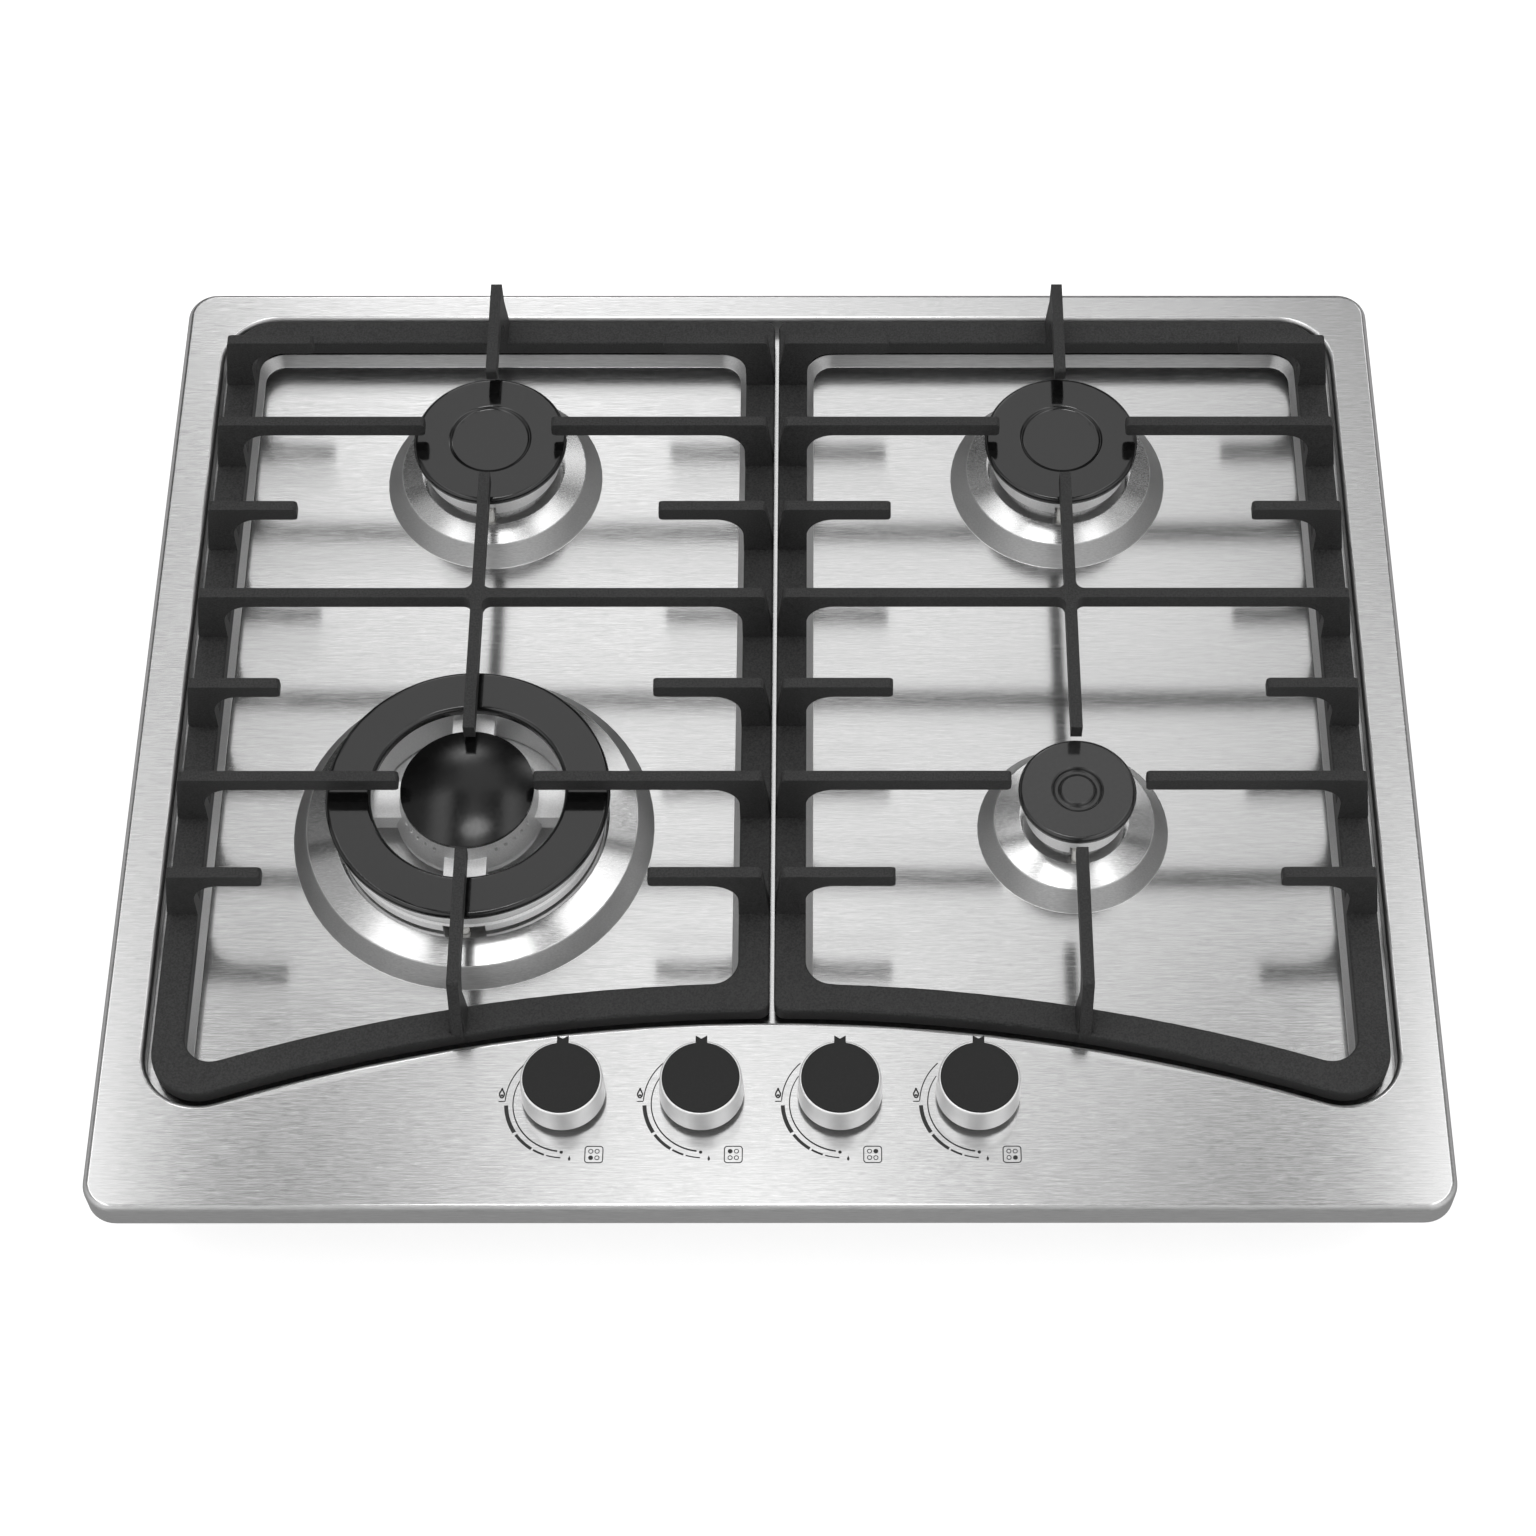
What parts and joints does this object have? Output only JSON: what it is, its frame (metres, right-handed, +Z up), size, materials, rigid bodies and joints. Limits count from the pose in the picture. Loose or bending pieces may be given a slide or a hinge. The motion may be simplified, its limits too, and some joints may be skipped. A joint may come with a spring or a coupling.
{
  "type": "built-in gas cooktop",
  "caption": "Built-in gas cooktop: pressed steel panel with an arched well, round burners, cast grates, push-and-turn knobs and a service tray.",
  "frame": {"origin": "middle of the underside of the service tray", "axes": "+X to the right seen from the knobs, +Y to the back, +Z up"},
  "size_m": [0.59, 0.5, 0.0945],
  "materials": {
    "panel_steel": "brushed along the width",
    "tray_steel": "galvanised sheet",
    "enamel_iron": "matt charcoal enamel",
    "foot_rubber": "soft",
    "burner_aluminium": "satin die cast",
    "cap_enamel": "glossy black enamel",
    "ceramic": "glazed",
    "spark_steel": "plain",
    "brass": "turned",
    "zinc_steel": "zinc plated",
    "rail_steel": "plated tube",
    "valve_aluminium": "machined",
    "black_plastic": "moulded",
    "lead_rubber": "silicone",
    "seal_foam": "closed cell foam",
    "knob_metal": "satin metal with a bright bevel",
    "disc_black": "satin black disc"
  },
  "bodies": {
    "hob": {"top_panel": "panel_steel", "bottom_tray": "tray_steel", "panel_brackets": "tray_steel", "tray_screws": "zinc_steel", "rim_seal": "seal_foam", "cup_lock_rings": "zinc_steel", "injectors": "brass", "spark_ceramics": "ceramic", "spark_electrodes": "spark_steel", "gas_rail": "rail_steel", "gas_inlet": "brass", "valve_bodies": "valve_aluminium", "valve_bonnets": "zinc_steel", "bonnet_screws": "zinc_steel", "rail_clamps": "valve_aluminium", "clamp_screws": "zinc_steel", "gas_tubes": "valve_aluminium", "tube_nuts": "brass", "spark_generator": "black_plastic", "ignition_wiring": "lead_rubber", "ignition_switches": "black_plastic", "cable_gland": "black_plastic", "knob_seals": "foot_rubber", "rear_left_burner_cup": "burner_aluminium", "rear_right_burner_cup": "burner_aluminium", "front_left_burner_cup": "burner_aluminium", "front_right_burner_cup": "burner_aluminium"},
    "left_support": {"left_grate": "enamel_iron", "left_grate_feet": "foot_rubber"},
    "right_support": {"right_grate": "enamel_iron", "right_grate_feet": "foot_rubber"},
    "rear_left_head": {"rear_left_burner_head": "burner_aluminium"},
    "rear_left_cap_body": {"rear_left_cap": "cap_enamel"},
    "rear_right_head": {"rear_right_burner_head": "burner_aluminium"},
    "rear_right_cap_body": {"rear_right_cap": "cap_enamel"},
    "front_left_head": {"front_left_burner_head": "burner_aluminium"},
    "front_left_ring_cap_body": {"front_left_ring_cap": "cap_enamel"},
    "front_left_dome_cap_body": {"front_left_dome_cap": "cap_enamel"},
    "front_right_head": {"front_right_burner_head": "burner_aluminium"},
    "front_right_cap_body": {"front_right_cap": "cap_enamel"},
    "front_left_plug": {"front_left_valve_plug": "brass", "front_left_valve_spring": "spark_steel"},
    "front_left_control": {"front_left_valve_stem": "zinc_steel", "front_left_knob": "knob_metal", "front_left_knob_disc": "disc_black"},
    "rear_left_plug": {"rear_left_valve_plug": "brass", "rear_left_valve_spring": "spark_steel"},
    "rear_left_control": {"rear_left_valve_stem": "zinc_steel", "rear_left_knob": "knob_metal", "rear_left_knob_disc": "disc_black"},
    "rear_right_plug": {"rear_right_valve_plug": "brass", "rear_right_valve_spring": "spark_steel"},
    "rear_right_control": {"rear_right_valve_stem": "zinc_steel", "rear_right_knob": "knob_metal", "rear_right_knob_disc": "disc_black"},
    "front_right_plug": {"front_right_valve_plug": "brass", "front_right_valve_spring": "spark_steel"},
    "front_right_control": {"front_right_valve_stem": "zinc_steel", "front_right_knob": "knob_metal", "front_right_knob_disc": "disc_black"}
  },
  "joints": [
    {"name": "left_grate_lift", "type": "slide", "parent": "hob", "child": "left_support", "axis": [0, 0, 1], "range_m": [0, 0.06]},
    {"name": "right_grate_lift", "type": "slide", "parent": "hob", "child": "right_support", "axis": [0, 0, 1], "range_m": [0, 0.06]},
    {"name": "rear_left_head_lift", "type": "slide", "parent": "hob", "child": "rear_left_head", "axis": [0, 0, 1], "range_m": [0, 0.0028]},
    {"name": "rear_left_cap_lift", "type": "slide", "parent": "rear_left_head", "child": "rear_left_cap_body", "axis": [0, 0, 1], "range_m": [0, 0.0028]},
    {"name": "rear_right_head_lift", "type": "slide", "parent": "hob", "child": "rear_right_head", "axis": [0, 0, 1], "range_m": [0, 0.0028]},
    {"name": "rear_right_cap_lift", "type": "slide", "parent": "rear_right_head", "child": "rear_right_cap_body", "axis": [0, 0, 1], "range_m": [0, 0.0028]},
    {"name": "front_left_head_lift", "type": "slide", "parent": "hob", "child": "front_left_head", "axis": [0, 0, 1], "range_m": [0, 0.0007]},
    {"name": "front_left_ring_cap_lift", "type": "slide", "parent": "front_left_head", "child": "front_left_ring_cap_body", "axis": [0, 0, 1], "range_m": [0, 0.004]},
    {"name": "front_left_dome_cap_lift", "type": "slide", "parent": "front_left_head", "child": "front_left_dome_cap_body", "axis": [0, 0, 1], "range_m": [0, 0.0007]},
    {"name": "front_right_head_lift", "type": "slide", "parent": "hob", "child": "front_right_head", "axis": [0, 0, 1], "range_m": [0, 0.0017]},
    {"name": "front_right_cap_lift", "type": "slide", "parent": "front_right_head", "child": "front_right_cap_body", "axis": [0, 0, 1], "range_m": [0, 0.0017]},
    {"name": "front_left_knob_turn", "type": "hinge", "parent": "hob", "child": "front_left_plug", "pos_m": [-0.09, -0.196, 0.026], "axis": [0, 0, 1], "range_deg": [0, 180]},
    {"name": "front_left_knob_push", "type": "slide", "parent": "front_left_plug", "child": "front_left_control", "axis": [0, 0, -1], "range_m": [0, 0.003], "stiffness_N_per_m": 300, "springref_m": -0.003, "deforming": ["front_left_valve_spring"]},
    {"name": "rear_left_knob_turn", "type": "hinge", "parent": "hob", "child": "rear_left_plug", "pos_m": [-0.03, -0.196, 0.026], "axis": [0, 0, 1], "range_deg": [0, 180]},
    {"name": "rear_left_knob_push", "type": "slide", "parent": "rear_left_plug", "child": "rear_left_control", "axis": [0, 0, -1], "range_m": [0, 0.003], "stiffness_N_per_m": 300, "springref_m": -0.003, "deforming": ["rear_left_valve_spring"]},
    {"name": "rear_right_knob_turn", "type": "hinge", "parent": "hob", "child": "rear_right_plug", "pos_m": [0.03, -0.196, 0.026], "axis": [0, 0, 1], "range_deg": [0, 180]},
    {"name": "rear_right_knob_push", "type": "slide", "parent": "rear_right_plug", "child": "rear_right_control", "axis": [0, 0, -1], "range_m": [0, 0.003], "stiffness_N_per_m": 300, "springref_m": -0.003, "deforming": ["rear_right_valve_spring"]},
    {"name": "front_right_knob_turn", "type": "hinge", "parent": "hob", "child": "front_right_plug", "pos_m": [0.09, -0.196, 0.026], "axis": [0, 0, 1], "range_deg": [0, 180]},
    {"name": "front_right_knob_push", "type": "slide", "parent": "front_right_plug", "child": "front_right_control", "axis": [0, 0, -1], "range_m": [0, 0.003], "stiffness_N_per_m": 300, "springref_m": -0.003, "deforming": ["front_right_valve_spring"]}
  ]
}
